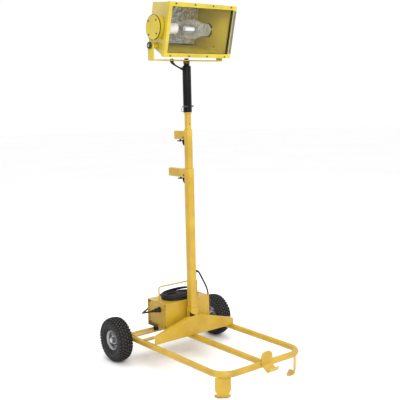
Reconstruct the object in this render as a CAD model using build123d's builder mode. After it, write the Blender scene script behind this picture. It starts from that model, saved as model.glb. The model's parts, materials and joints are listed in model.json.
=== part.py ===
from build123d import *
import os
from math import atan2, cos, degrees, pi, radians, sin, sqrt, tan

os.makedirs("parts", exist_ok=True)

# ---------------------------------------------------------------- driving dimensions (mm)
AXLE_Y = 403.0          # axle line, behind the mast
WHEEL_R = 130.0         # 4.10/3.50-4 pneumatic tyre
WHEEL_W = 88.0
TRACK_HALF = 370.0      # wheel centre from the middle
RAIL_X = 288.0          # side rail centreline
RAIL_Z = 130.0          # all base tubes lie at axle height
FRONT_Y = -456.0        # front bar centreline
CORNER_R = 93.0
TUBE_R = 17.0           # one-inch pipe
TUBE_WALL = 2.5
WELD = 0.1              # how far a welded piece runs into the next one
CROSS_HALF = 318.0      # half length of the rear cross tube
AXLE_R = 8.0
HUB_BORE_R = 8.05       # running fit on the axle

MAST_Y = 152.0
OUTER, MIDDLE, UPPER = 42.0, 35.0, 28.0     # square mast tubes
MAST_WALL = 2.0
OUTER_TOP, MIDDLE_TOP, UPPER_TOP = 1116.0, 1337.0, 1428.0
PLATE_BACK_Y = 127.0
PLATE_T = 5.0

BOX_HALF = 160.0        # ballast box
BOX_Y0, BOX_Y1 = 193.0, 378.0
BOX_Z0, BOX_Z1 = 187.0, 340.0
SHEET = 2.0

POLE_R = 24.0           # black pole adaptor on top of the mast
POLE_Z0, POLE_Z1 = 1433.3, 1692.0
SPIGOT_R = 18.0
YOKE_Z = 1719.0         # middle of the yoke's bottom strap
YOKE_X = 238.0
PIVOT_Z = 1796.0        # tilt axis, straight above the mast

HEAD_Y, HEAD_Z = 14.0, 1868.0              # middle of the lamp door's front face
HEAD_TILT = 14.1                            # door looks this far below level
HEAD_W, HEAD_H = 458.0, 286.0
HEAD_DEPTH = 250.0
DOOR_T = 22.0
LAMP_Y, LAMP_Z = 109.3, 1886.8               # lamp axis, parallel to X
DRUM_R = 63.0                               # round socket housing

st, ct = sin(radians(HEAD_TILT)), cos(radians(HEAD_TILT))
head_plane = Plane(origin=(0, HEAD_Y, HEAD_Z), x_dir=(1, 0, 0), z_dir=(0, -ct, -st))


def save(builder, label):
    """Name one piece and write it out."""
    builder.part.label = label
    export_step(builder.part, "parts/" + label + ".step")


# ---------------------------------------------------------------- base frame
with BuildPart() as frame_loop:
    with BuildLine() as loop_path:
        FilletPolyline(
            (-RAIL_X, AXLE_Y - 8, RAIL_Z), (-RAIL_X, FRONT_Y, RAIL_Z),
            (RAIL_X, FRONT_Y, RAIL_Z), (RAIL_X, AXLE_Y - 8, RAIL_Z), radius=CORNER_R)
    with BuildSketch(Plane.XZ.offset(-(AXLE_Y - 8))):
        with Locations((-RAIL_X, RAIL_Z)):
            Circle(TUBE_R)
            Circle(TUBE_R - TUBE_WALL, mode=Mode.SUBTRACT)
    sweep(path=loop_path.line)
    with BuildSketch(Plane.YZ.offset(-400)):
        with Locations((AXLE_Y, RAIL_Z)):
            Circle(TUBE_R - WELD)
    extrude(amount=800, mode=Mode.SUBTRACT)
save(frame_loop, "frame_loop")

with BuildPart() as centre_rail:
    with BuildSketch(Plane.XZ.offset(-(AXLE_Y - 8))):
        with Locations((0, RAIL_Z)):
            Circle(TUBE_R)
            Circle(TUBE_R - TUBE_WALL, mode=Mode.SUBTRACT)
    extrude(amount=AXLE_Y - FRONT_Y - 16)
    with BuildSketch(Plane.YZ.offset(-40)):
        with Locations((AXLE_Y, RAIL_Z), (FRONT_Y, RAIL_Z)):
            Circle(TUBE_R - WELD)
    extrude(amount=80, mode=Mode.SUBTRACT)
save(centre_rail, "centre_rail")

with BuildPart() as rear_cross_tube:
    with BuildSketch(Plane.YZ.offset(-CROSS_HALF)):
        with Locations((AXLE_Y, RAIL_Z)):
            Circle(TUBE_R)
            Circle(TUBE_R - TUBE_WALL, mode=Mode.SUBTRACT)
    extrude(amount=2 * CROSS_HALF)
save(rear_cross_tube, "rear_cross_tube")

AXLE_HALF = 408.0
with BuildPart() as axle:
    with BuildSketch(Plane.YZ.offset(-AXLE_HALF)):
        with Locations((AXLE_Y, RAIL_Z)):
            Circle(AXLE_R)
    extrude(amount=2 * AXLE_HALF)
    chamfer(axle.edges().filter_by(GeomType.CIRCLE), 1.5)
save(axle, "axle")

with BuildPart() as axle_fittings:
    for x0, length, radius in ((-CROSS_HALF, 30, TUBE_R - TUBE_WALL - 0.1), (CROSS_HALF - 30, 30, TUBE_R - TUBE_WALL - 0.1),
                               (-334.7, 16.5, 12.5), (CROSS_HALF + 0.2, 16.5, 12.5), (-407, 5, 13), (402, 5, 13)):
        with BuildSketch(Plane.YZ.offset(x0)):
            with Locations((AXLE_Y, RAIL_Z)):
                Circle(radius)
                Circle(AXLE_R + 0.1, mode=Mode.SUBTRACT)
        extrude(amount=length)
save(axle_fittings, "axle_fittings")

# Strap legs stand across the front corners, their lower ends bent inward and laid flat as feet.
STRAP_T, STRAP_W = 6.0, 82.0
LEG_TURN = 36.0         # angle of each leg's face from the front bar
FOOT_REACH = 44.0
CORNER_IN = CORNER_R * (1 - 1 / sqrt(2))
leg_sin, leg_cos = sin(radians(LEG_TURN)), cos(radians(LEG_TURN))
with BuildPart() as strap_legs:
    for side in (-1, 1):
        corner = (side * (RAIL_X - CORNER_IN), FRONT_Y + CORNER_IN, 0)
        inward = (-side * leg_sin, leg_cos, 0)
        along = (leg_cos, side * leg_sin, 0)
        side_view = Plane(origin=corner, x_dir=inward, z_dir=along)
        with BuildSketch(side_view):
            with BuildLine():
                strap_line = FilletPolyline((3, 111.5), (3, 3), (FOOT_REACH, 3), radius=22)
            trace(strap_line, line_width=STRAP_T)
        extrude(amount=STRAP_W / 2, both=True)
        face_view = Plane(origin=corner, x_dir=along, z_dir=(-inward[0], -inward[1], 0)).offset(10)
        with BuildSketch(face_view):
            with BuildLine():
                Polyline((42, 50), (31, 26), (31, -5), (42, -5), close=True)
            make_face()
            mirror(about=Plane.YZ)
        extrude(amount=-34, mode=Mode.SUBTRACT)
save(strap_legs, "strap_legs")

# Tow hook in the middle of the front bar: a lug above it and a strap that runs forward and down to a lip.
HOOK_W = 76.0
HOOK_Y = FRONT_Y - TUBE_R - 3.0
with BuildPart() as front_hook:
    with BuildSketch(Plane.YZ):
        with BuildLine():
            hook_line = FilletPolyline((HOOK_Y, 150), (HOOK_Y, 133), (HOOK_Y - 43, 103), (HOOK_Y - 53, 128), radius=8)
        trace(hook_line, line_width=6)
    extrude(amount=HOOK_W / 2 - 4, both=True)
    with BuildSketch(Plane.XZ.offset(-(HOOK_Y + 3))):
        with Locations((0, 163)):
            RectangleRounded(HOOK_W, 80, 28)
    extrude(amount=6)
save(front_hook, "front_hook")

# ---------------------------------------------------------------- mast foot
with BuildPart() as mast_cross_plate:
    with BuildSketch(Plane.XZ.offset(-PLATE_BACK_Y)):
        with BuildLine():
            Polyline((-RAIL_X, 146), (-RAIL_X, 186), (-34, 258), (34, 258), (RAIL_X, 186), (RAIL_X, 146), close=True)
        make_face()
    extrude(amount=PLATE_T)
    for side in (-1, 1):
        with BuildSketch(Plane.XZ.offset(-PLATE_BACK_Y)):
            with BuildLine():
                Polyline((side * RAIL_X, 182), (side * 34, 254), (side * 34, 258), (side * RAIL_X, 186), close=True)
            make_face()
        extrude(amount=-22)
    fillet(mast_cross_plate.edges().filter_by(Axis.Y).group_by(Axis.X)[0].sort_by(Axis.Z)[-1:], 10)
    fillet(mast_cross_plate.edges().filter_by(Axis.Y).group_by(Axis.X)[-1].sort_by(Axis.Z)[-1:], 10)
save(mast_cross_plate, "mast_cross_plate")

SOCKET = 50.0
RELIEF = ((-15, 246), (20, 263), (-15, 284))
relief_plane = Plane(origin=(0, MAST_Y, 0), x_dir=(1, -1, 0), z_dir=(-1, -1, 0)).offset(44)
with BuildPart() as mast_socket:
    with BuildSketch(Plane.XY.offset(152)):
        with Locations((0, MAST_Y)):
            RectangleRounded(SOCKET, SOCKET, 6)
            Rectangle(OUTER + 0.6, OUTER + 0.6, mode=Mode.SUBTRACT)
    extrude(amount=152)
    with BuildSketch(Plane.YZ.offset(-40)):
        with Locations((MAST_Y, 200)):
            Circle(5.1)
    extrude(amount=80, mode=Mode.SUBTRACT)
    # three-cornered relief in the front left corner, over the cross plate
    with BuildSketch(relief_plane):
        with BuildLine():
            Polyline(*RELIEF, close=True)
        make_face()
    extrude(amount=-30, mode=Mode.SUBTRACT)
    with BuildSketch(Plane.XY.offset(146)):
        with Locations((0, MAST_Y + 8)):
            Rectangle(76, 64)
    extrude(amount=6)
save(mast_socket, "mast_socket")


def square_tube(size, z0, z1, corner):
    """Square mast tube, hollow, inside the running builder."""
    with BuildSketch(Plane.XY.offset(z0)) as section:
        with Locations((0, MAST_Y)):
            RectangleRounded(size, size, corner)
            RectangleRounded(size - 2 * MAST_WALL, size - 2 * MAST_WALL, corner - MAST_WALL, mode=Mode.SUBTRACT)
    extrude(section.sketch, amount=z1 - z0)


MAST_LEAD_OUT = (146.0, 516.0)
PAD_Z = -45.0           # brake pad below the trigger pivot
TRIGGERS = (("lower", MAST_Y + OUTER / 2, 1076.0, 327.0, OUTER), ("upper", MAST_Y + MIDDLE / 2, 1292.0, 265.0, MIDDLE))

with BuildPart() as outer_mast_tube:
    square_tube(OUTER, 152.3, OUTER_TOP, 5)
    with BuildSketch(relief_plane):
        with BuildLine():
            Polyline(*RELIEF, close=True)
        make_face()
    extrude(amount=-30, mode=Mode.SUBTRACT)
    with BuildSketch(Plane.XZ.offset(-(MAST_Y + OUTER / 2 + 4))):
        with Locations((0, 1076 + PAD_Z)):
            Rectangle(16, 26)
    extrude(amount=10, mode=Mode.SUBTRACT)
    with BuildSketch(Plane.YZ.offset(OUTER / 2 - 4)):
        with Locations(MAST_LEAD_OUT):
            Circle(8)
    extrude(amount=10, mode=Mode.SUBTRACT)
    with BuildSketch(Plane.YZ.offset(-40)):
        with Locations((MAST_Y, 200)):
            Circle(5.1)
    extrude(amount=80, mode=Mode.SUBTRACT)
save(outer_mast_tube, "outer_mast_tube")

with BuildPart() as middle_mast_tube:
    square_tube(MIDDLE, 300, MIDDLE_TOP, 4)
    with BuildSketch(Plane.XZ.offset(-(MAST_Y + MIDDLE / 2 + 4))):
        with Locations((0, 1292 + PAD_Z)):
            Rectangle(16, 26)
    extrude(amount=10, mode=Mode.SUBTRACT)
save(middle_mast_tube, "middle_mast_tube")

with BuildPart() as upper_mast_tube:
    square_tube(UPPER, 420, UPPER_TOP, 3.5)
    with BuildSketch(Plane.XZ.offset(-(MAST_Y - UPPER / 2 + 4))):
        with Locations((0, 1368)):
            Circle(3.5)
    extrude(amount=10, mode=Mode.SUBTRACT)
save(upper_mast_tube, "upper_mast_tube")

with BuildPart() as mast_foot_bolt:
    with BuildSketch(Plane.YZ.offset(-32)):
        with Locations((MAST_Y, 200)):
            Circle(5)
    extrude(amount=66)
    with BuildSketch(Plane.YZ.offset(-33)):
        with Locations((MAST_Y, 200)):
            RegularPolygon(9, 6)
    extrude(amount=7.5)
    with BuildSketch(Plane.YZ.offset(25.5)):
        with Locations((MAST_Y, 200)):
            RegularPolygon(9, 6)
    extrude(amount=7)
save(mast_foot_bolt, "mast_foot_bolt")

# ---------------------------------------------------------------- latch grips and triggers
GRIP_W, GRIP_H, GRIP_WALL = 30.0, 48.0, 2.5
for label, face_y, pivot_z, end_y, size in TRIGGERS:
    pivot_y = face_y + 10
    button_y = pivot_y + 46
    grip_z = pivot_z + 12
    with BuildPart() as grip:
        with BuildSketch(Plane.XZ.offset(-face_y)):
            with Locations((0, grip_z)):
                RectangleRounded(GRIP_W, GRIP_H, 4)
                RectangleRounded(GRIP_W - 2 * GRIP_WALL, GRIP_H - 2 * GRIP_WALL, 1.5, mode=Mode.SUBTRACT)
        extrude(amount=-(end_y - face_y))
        with BuildSketch(Plane.XY.offset(grip_z - GRIP_H / 2 - 1)):
            with Locations((0, (pivot_y + button_y) / 2)):
                Rectangle(10.5, button_y - pivot_y + 16)
            with Locations((0, button_y)):
                Circle(9.5)
        extrude(amount=GRIP_WALL + 2, mode=Mode.SUBTRACT)
        with BuildSketch(Plane.YZ.offset(-20)):
            with Locations((pivot_y, pivot_z)):
                Circle(3.1)
        extrude(amount=40, mode=Mode.SUBTRACT)
    save(grip, label + "_grip")

    with BuildPart() as trigger_pin:
        with BuildSketch(Plane.YZ.offset(-17)):
            with Locations((pivot_y, pivot_z)):
                Circle(3)
        extrude(amount=34)
        for x0 in (-17.5, 15.2):
            with BuildSketch(Plane.YZ.offset(x0)):
                with Locations((pivot_y, pivot_z)):
                    Circle(5)
            extrude(amount=2.3)
    save(trigger_pin, label + "_trigger_pin")

    with BuildPart() as trigger:
        with BuildSketch(Plane.YZ):
            with Locations((pivot_y, pivot_z)):
                Circle(8)
            with Locations((pivot_y + 26, pivot_z + 1)):
                Rectangle(52, 9)
            with BuildLine():
                tail = Spline((pivot_y, pivot_z), (pivot_y + 10, pivot_z - 20),
                              (pivot_y + 6, pivot_z - 36), (pivot_y - 3, pivot_z + PAD_Z))
            trace(tail, line_width=7)
            with Locations((pivot_y - 6.5, pivot_z + PAD_Z)):
                Rectangle(12, 12)
            with Locations((pivot_y, pivot_z)):
                Circle(3.05, mode=Mode.SUBTRACT)
        extrude(amount=4, both=True)
        with BuildSketch(Plane.XY.offset(grip_z - GRIP_H / 2 - 1)):
            with Locations((0, button_y)):
                Circle(5)
        extrude(amount=pivot_z - 3.5 - (grip_z - GRIP_H / 2 - 1))
        with BuildSketch(Plane.XY.offset(grip_z - GRIP_H / 2 - 10)):
            with Locations((0, button_y)):
                Circle(8)
        extrude(amount=9)
        fillet(trigger.edges().filter_by(GeomType.CIRCLE).group_by(Axis.Z)[0], 2)
    save(trigger, label + "_trigger")

# ---------------------------------------------------------------- swivel, black pole and yoke
PIN_Y = MAST_Y - 17     # hitch pin passes beside the spigot's waist
PIN_Z = 1467.0
with BuildPart() as mast_spigot:
    with BuildSketch(Plane.XY.offset(1388)):
        with Locations((0, MAST_Y)):
            Rectangle(UPPER - 2 * MAST_WALL - 0.4, UPPER - 2 * MAST_WALL - 0.4)
    extrude(amount=UPPER_TOP - 1388)
    for z0, z1, r in ((UPPER_TOP, 1433, 23), (1433, 1460, SPIGOT_R), (1460, 1474, 12), (1474, 1560, SPIGOT_R)):
        with BuildSketch(Plane.XY.offset(z0)):
            with Locations((0, MAST_Y)):
                Circle(r)
        extrude(amount=z1 - z0)
    with BuildSketch(Plane.XY.offset(1380)):
        with Locations((0, MAST_Y)):
            Circle(7)
    extrude(amount=200, mode=Mode.SUBTRACT)
save(mast_spigot, "mast_spigot")

LEAD_EXIT_Z = 1672.0
with BuildPart() as pole_adaptor:
    with BuildSketch(Plane.XY.offset(POLE_Z0)):
        with Locations((0, MAST_Y)):
            Circle(POLE_R)
    extrude(amount=POLE_Z1 - POLE_Z0)
    chamfer(pole_adaptor.edges().group_by(Axis.Z)[-1], 6)
    chamfer(pole_adaptor.edges().group_by(Axis.Z)[0], 2)
    with BuildSketch(Plane.XY.offset(POLE_Z0 - 1)):
        with Locations((0, MAST_Y)):
            Circle(SPIGOT_R + 0.06)
    extrude(amount=134, mode=Mode.SUBTRACT)
    with BuildSketch(Plane.XY.offset(1562)):
        with Locations((0, MAST_Y)):
            Circle(20)
    extrude(amount=122, mode=Mode.SUBTRACT)
    with BuildSketch(Plane.YZ.offset(-40)):
        with Locations((PIN_Y, PIN_Z)):
            Circle(4.06)
    extrude(amount=80, mode=Mode.SUBTRACT)
    with BuildSketch(Plane.YZ.offset(-40)):
        with Locations((MAST_Y, LEAD_EXIT_Z)):
            Circle(7)
    extrude(amount=40, mode=Mode.SUBTRACT)
    with BuildSketch(Plane.XY.offset(POLE_Z1)):
        with Locations((0, MAST_Y)):
            Circle(16)
    extrude(amount=20)
save(pole_adaptor, "pole_adaptor")

GLAND_X = -101.0
with BuildPart() as yoke:
    with BuildSketch(Plane.XZ.offset(-MAST_Y)):
        with Locations((0, YOKE_Z - 3)):
            Rectangle(2 * YOKE_X + 6, PIVOT_Z + 28 - YOKE_Z, align=(Align.CENTER, Align.MIN))
        with Locations((0, YOKE_Z + 3)):
            Rectangle(2 * YOKE_X - 6, PIVOT_Z + 28 - YOKE_Z, align=(Align.CENTER, Align.MIN), mode=Mode.SUBTRACT)
    extrude(amount=25, both=True)
    fillet(yoke.edges().filter_by(Axis.X).group_by(Axis.Z)[-1], 22)
    fillet(yoke.edges().filter_by(Axis.Y).group_by(Axis.Z)[0], 9)
    with BuildSketch(Plane.YZ.offset(-YOKE_X - 10)):
        with Locations((MAST_Y, PIVOT_Z)):
            Circle(6.4)
    extrude(amount=2 * YOKE_X + 20, mode=Mode.SUBTRACT)
    with BuildSketch(Plane.XY.offset(YOKE_Z - 5)):
        with Locations((0, MAST_Y)):
            Circle(8.2)
        with Locations((GLAND_X, MAST_Y)):
            Circle(8.1)
    extrude(amount=10, mode=Mode.SUBTRACT)
save(yoke, "yoke")

with BuildPart() as yoke_bolt:
    with BuildSketch(Plane.XY.offset(POLE_Z1 + 20)):
        with Locations((0, MAST_Y)):
            Circle(8)
    extrude(amount=YOKE_Z + 3.2 - POLE_Z1 - 20)
    with BuildSketch(Plane.XY.offset(YOKE_Z + 3.2)):
        with Locations((0, MAST_Y)):
            RegularPolygon(13, 6)
    extrude(amount=9)
    with BuildSketch(Plane.XY.offset(POLE_Z1 + 20)):
        with Locations((0, MAST_Y)):
            Circle(19)
            Circle(8.2, mode=Mode.SUBTRACT)
    extrude(amount=YOKE_Z - 3 - POLE_Z1 - 20)
save(yoke_bolt, "yoke_bolt")

with BuildPart() as hitch_pin:
    with BuildSketch(Plane.YZ.offset(-34)):
        with Locations((PIN_Y, PIN_Z)):
            Circle(4)
    extrude(amount=62)
    with BuildSketch(Plane.YZ.offset(-38)):
        with Locations((PIN_Y, PIN_Z)):
            Circle(6.5)
    extrude(amount=7)
    with BuildLine():
        bail_line = FilletPolyline((-36, PIN_Y, PIN_Z), (-48, PIN_Y, PIN_Z), (-52, PIN_Y + 10, PIN_Z - 26),
                                   (-34, PIN_Y + 10, PIN_Z - 28), radius=(3.5, 6))
    with BuildSketch(Plane(origin=(-36, PIN_Y, PIN_Z), z_dir=(-1, 0, 0))):
        Circle(1.4)
    sweep(path=bail_line)
save(hitch_pin, "hitch_pin")

# ---------------------------------------------------------------- lamp head
FRONT_HW, FRONT_HH = 225.0, 139.0
BACK_HW, BACK_HH = 161.0, 111.0


def head_loft(thinner, z_front, z_back, mode):
    """Tapered box of the lamp housing, in the tilted head frame."""
    with BuildSketch(head_plane.offset(-z_front)) as front:
        Rectangle(2 * (FRONT_HW - thinner), 2 * (FRONT_HH - thinner))
    with BuildSketch(head_plane.offset(-z_back)) as back:
        Rectangle(2 * (BACK_HW - thinner), 2 * (BACK_HH - thinner))
    loft([front.sketch, back.sketch], mode=mode)


with BuildPart() as lamp_housing:
    head_loft(0, DOOR_T, HEAD_DEPTH, Mode.ADD)
    for x0 in (-233.0, 150.0):
        with BuildSketch(Plane.YZ.offset(x0)):
            with Locations((MAST_Y, PIVOT_Z)):
                Circle(17)
        extrude(amount=83)
    head_loft(SHEET, DOOR_T, HEAD_DEPTH - SHEET, Mode.SUBTRACT)
    with BuildSketch(Plane.YZ.offset(-240)):
        with Locations((MAST_Y, PIVOT_Z)):
            Circle(6.1)
        with Locations((LAMP_Y, LAMP_Z)):
            Circle(45)
    extrude(amount=120, mode=Mode.SUBTRACT)
    with BuildSketch(Plane.YZ.offset(120)):
        with Locations((MAST_Y, PIVOT_Z)):
            Circle(6.1)
    extrude(amount=120, mode=Mode.SUBTRACT)
save(lamp_housing, "lamp_housing")

with BuildPart() as socket_housing:
    with BuildSketch(Plane.YZ.offset(-244)):
        with Locations((LAMP_Y, LAMP_Z)):
            Circle(DRUM_R - 1)
            Circle(DRUM_R - 4, mode=Mode.SUBTRACT)
    extrude(amount=80)
    head_loft(-0.05, DOOR_T, HEAD_DEPTH, Mode.SUBTRACT)
save(socket_housing, "socket_housing")

CAP_SCREW_R = 50.0
CAP_SCREWS = 4
with BuildPart() as socket_cap:
    with BuildSketch(Plane.YZ.offset(-254)):
        with Locations((LAMP_Y, LAMP_Z)):
            Circle(DRUM_R)
            with PolarLocations(CAP_SCREW_R, CAP_SCREWS, start_angle=45):
                Circle(2.7, mode=Mode.SUBTRACT)
    extrude(amount=7)
    fillet(socket_cap.edges().group_by(Axis.X)[0].sort_by(SortBy.LENGTH)[-1:], 3)
save(socket_cap, "socket_cap")

with BuildPart() as door_frame:
    with BuildSketch(head_plane):
        Rectangle(HEAD_W, HEAD_H)
        Rectangle(418, 242, mode=Mode.SUBTRACT)
    extrude(amount=-DOOR_T)
    with BuildSketch(head_plane.offset(-8)):
        Rectangle(434, 260)
    extrude(amount=-(DOOR_T - 8), mode=Mode.SUBTRACT)
save(door_frame, "door_frame")

with BuildPart() as lens_glass:
    with BuildSketch(head_plane.offset(-9)):
        Rectangle(432, 258)
    extrude(amount=-5)
save(lens_glass, "lens_glass")

with BuildPart() as head_gaskets:
    with BuildSketch(Plane.YZ.offset(-247)):
        with Locations((LAMP_Y, LAMP_Z)):
            Circle(DRUM_R)
            Circle(DRUM_R - 6, mode=Mode.SUBTRACT)
    extrude(amount=3)
    with BuildSketch(head_plane.offset(-14)):
        Rectangle(432, 258)
        Rectangle(416, 244, mode=Mode.SUBTRACT)
    extrude(amount=-(DOOR_T - 14))
save(head_gaskets, "head_gaskets")

DOOR_SCREW_X = (-188.0, -62.0, 62.0, 188.0)
with BuildPart() as head_screws:
    with BuildSketch(Plane.YZ.offset(-257)):
        with Locations((LAMP_Y, LAMP_Z)):
            with PolarLocations(CAP_SCREW_R, CAP_SCREWS, start_angle=45):
                Circle(4.2)
    extrude(amount=2.9)
    with BuildSketch(Plane.YZ.offset(-254.2)):
        with Locations((LAMP_Y, LAMP_Z)):
            with PolarLocations(CAP_SCREW_R, CAP_SCREWS, start_angle=45):
                Circle(2.5)
    extrude(amount=16)
    with BuildSketch(head_plane.offset(0.1)):
        with Locations(*[(x, y) for x in DOOR_SCREW_X for y in (-135.5, 135.5)]):
            Circle(4.5)
    extrude(amount=2.5)
    for x0 in (-234.7, 233.0):
        with BuildSketch(Plane.YZ.offset(x0)):
            with Locations((MAST_Y, PIVOT_Z)):
                Circle(16)
                Circle(6.3, mode=Mode.SUBTRACT)
        extrude(amount=1.7)
save(head_screws, "head_screws")

REFLECTOR_X0, REFLECTOR_X1 = -152.0, 140.0
REFLECTOR_HALF = 104.0      # half height of the bright sheet in front of the housing's back
REFLECTOR_DEPTH = 240.0
REFLECTOR_DISH = 20.0
SHEET_T = 1.2


def reflector_line(depth):
    """The sheet's section, deepest in its middle."""
    points = []
    for step in range(-4, 5):
        back = depth - REFLECTOR_DISH * (step / 4) ** 2
        up = REFLECTOR_HALF * step / 4
        points.append((HEAD_Y - up * st + back * ct, HEAD_Z + up * ct + back * st))
    return Spline(*points)


with BuildPart() as reflector:
    with BuildSketch(Plane.YZ.offset(REFLECTOR_X0)):
        with BuildLine():
            rear = reflector_line(REFLECTOR_DEPTH)
            front = reflector_line(REFLECTOR_DEPTH - SHEET_T)
            Line(rear @ 0, front @ 0)
            Line(rear @ 1, front @ 1)
        make_face()
    extrude(amount=REFLECTOR_X1 - REFLECTOR_X0)
save(reflector, "reflector")

axis_plane = Plane(origin=(0, LAMP_Y, LAMP_Z), x_dir=(1, 0, 0), z_dir=(0, -ct, -st))
with BuildPart() as lamp_socket:
    with BuildSketch(Plane.YZ.offset(-244)):
        with Locations((LAMP_Y, LAMP_Z)):
            Circle(30)
            Circle(20, mode=Mode.SUBTRACT)
    extrude(amount=140)
    with BuildSketch(Plane.YZ.offset(-246)):
        with Locations((LAMP_Y, LAMP_Z)):
            Circle(30)
    extrude(amount=50)
save(lamp_socket, "lamp_socket")

with BuildPart() as bulb_base:
    with BuildSketch(Plane.YZ.offset(-190)):
        with Locations((LAMP_Y, LAMP_Z)):
            Circle(19.4)
            Circle(18.4, mode=Mode.SUBTRACT)
    extrude(amount=86)
save(bulb_base, "bulb_base")

BULB = ((-103.5, 18), (-80, 26), (-40, 46), (0, 52), (40, 48), (80, 36), (118, 31), (132, 18))
with BuildPart() as bulb_glass:
    with BuildSketch(axis_plane):
        with BuildLine():
            wall = Spline(*BULB, (136, 0), tangents=((1, 0.1), (0, -1)))
            inner = Spline(*[(x - 0.2, r - 1.2) for x, r in BULB], (134.8, 0), tangents=((1, 0.1), (0, -1)))
            Line(wall @ 0, inner @ 0)
            Line(wall @ 1, inner @ 1)
        make_face()
    revolve(axis=Axis((0, LAMP_Y, LAMP_Z), (1, 0, 0)))
    for x0, x1, r in ((-62, -48, 5), (-48, 34, 11), (34, 46, 5)):
        with BuildSketch(Plane.YZ.offset(x0)):
            with Locations((LAMP_Y, LAMP_Z)):
                Circle(r)
        extrude(amount=x1 - x0)
save(bulb_glass, "bulb_glass")

with BuildPart() as lamp_supports:
    with BuildSketch(Plane.YZ.offset(-100)):
        with Locations((LAMP_Y, LAMP_Z)):
            Circle(15)
    extrude(amount=6)
    with BuildSketch(Plane.YZ.offset(-94)):
        with Locations((LAMP_Y, LAMP_Z - 13)):
            Circle(1.2)
        with Locations((LAMP_Y, LAMP_Z)):
            Circle(2.2)
    extrude(amount=31.8)
    with BuildSketch(Plane.YZ.offset(-64)):
        with Locations((LAMP_Y, LAMP_Z - 13)):
            Circle(1.2)
    extrude(amount=126)
    with BuildSketch(Plane.YZ.offset(60)):
        with Locations((LAMP_Y, LAMP_Z - 7)):
            Rectangle(4, 18)
    extrude(amount=2)
    with BuildSketch(Plane.YZ.offset(46.2)):
        with Locations((LAMP_Y, LAMP_Z)):
            Circle(1.5)
    extrude(amount=14.5)
    with BuildSketch(Plane.YZ.offset(116)):
        with Locations((LAMP_Y, LAMP_Z)):
            Circle(39)
            Circle(36, mode=Mode.SUBTRACT)
        with Locations((LAMP_Y - 36, LAMP_Z)):
            Rectangle(30, 16, mode=Mode.SUBTRACT)
    extrude(amount=10)
    bracket_back = REFLECTOR_DEPTH - SHEET_T - 0.2
    with BuildSketch(head_plane.offset(-bracket_back)):
        with Locations((121, -5)):
            Rectangle(8, 3)
    extrude(amount=bracket_back - 134)
save(lamp_supports, "lamp_supports")

for label, side in (("left", -1), ("right", 1)):
    with BuildPart() as knob:
        with BuildSketch(Plane.YZ.offset(side * 241.4)):
            with Locations((MAST_Y, PIVOT_Z)):
                Circle(20)
                with PolarLocations(23.5, 8):
                    Circle(6, mode=Mode.SUBTRACT)
        extrude(amount=side * 18)
        with BuildSketch(Plane.YZ.offset(side * 212)):
            with Locations((MAST_Y, PIVOT_Z)):
                Circle(6)
        extrude(amount=side * 48)
    save(knob, "tilt_knob_" + label)
# ---------------------------------------------------------------- ballast box
MOUNT_YS = (230.0, 342.0)
INLET_Y, INLET_Z = 266.0, 294.0
OUTLET_Z = 262.0
OUTLET_X = 212.0
BOX_Y = (BOX_Y0 + BOX_Y1) / 2
BOX_D = BOX_Y1 - BOX_Y0
BOX_H = BOX_Z1 - BOX_Z0
with BuildPart() as box_carriers:
    for y0 in MOUNT_YS:
        with BuildSketch(Plane.XY.offset(146)):
            with Locations((0, y0)):
                Rectangle(2 * RAIL_X, 34)
        extrude(amount=5)
save(box_carriers, "box_carriers")

with BuildPart() as box_mounts:
    with BuildSketch(Plane.XY.offset(151)):
        with Locations(*[(x, y) for x in (-130, 130) for y in MOUNT_YS]):
            Circle(15)
    extrude(amount=BOX_Z0 - 151)
save(box_mounts, "box_mounts")

with BuildPart() as box_base:
    with BuildSketch(Plane.XY.offset(BOX_Z0)):
        with Locations((0, BOX_Y)):
            Rectangle(2 * BOX_HALF - 4.2, BOX_D - 4.2)
    extrude(amount=3)
save(box_base, "box_base")

with BuildPart() as box_cover:
    with BuildSketch(Plane.YZ.offset(-BOX_HALF)):
        with Locations((BOX_Y, BOX_Z0 + BOX_H / 2)):
            Rectangle(BOX_D, BOX_H)
        with Locations((BOX_Y, BOX_Z0 + BOX_H / 2 - SHEET)):
            Rectangle(BOX_D - 2 * SHEET, BOX_H, mode=Mode.SUBTRACT)
    extrude(amount=2 * BOX_HALF)
    fillet(box_cover.edges().filter_by(Axis.X).group_by(Axis.Z)[-1], 3)
save(box_cover, "box_cover")

PANEL_IN = 10.0
with BuildPart() as box_end_panels:
    for side in (-1, 1):
        with BuildSketch(Plane.YZ.offset(side * (BOX_HALF - PANEL_IN))):
            with Locations((BOX_Y, (BOX_Z0 + 3.2 + BOX_Z1 - SHEET - 0.1) / 2)):
                Rectangle(BOX_D - 2 * SHEET - 0.2, BOX_H - SHEET - 3.3)
            with Locations((INLET_Y, INLET_Z if side < 0 else OUTLET_Z)):
                Circle(12.1, mode=Mode.SUBTRACT)
        extrude(amount=side * SHEET)
save(box_end_panels, "box_end_panels")

with BuildPart() as box_screws:
    for x0 in (-BOX_HALF + PANEL_IN - SHEET - 3, BOX_HALF - PANEL_IN + SHEET + 0.1):
        with BuildSketch(Plane.YZ.offset(x0)):
            with Locations(*[(y, z) for y in (BOX_Y0 + 14, BOX_Y1 - 14) for z in (202, 326)]):
                Circle(5)
        extrude(amount=2.9)
save(box_screws, "box_screws")

with BuildPart() as box_feet:
    for side in (-1, 1):
        with BuildSketch(Plane.XZ.offset(-(BOX_Y1 - 3))):
            with BuildLine():
                Polyline((side * 150, 183.9), (side * 163.2, 183.9), (side * 163.2, 198), (side * 160.2, 198),
                         (side * 160.2, 186.9), (side * 150, 186.9), close=True)
            make_face()
        extrude(amount=96)
save(box_feet, "box_feet")

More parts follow.
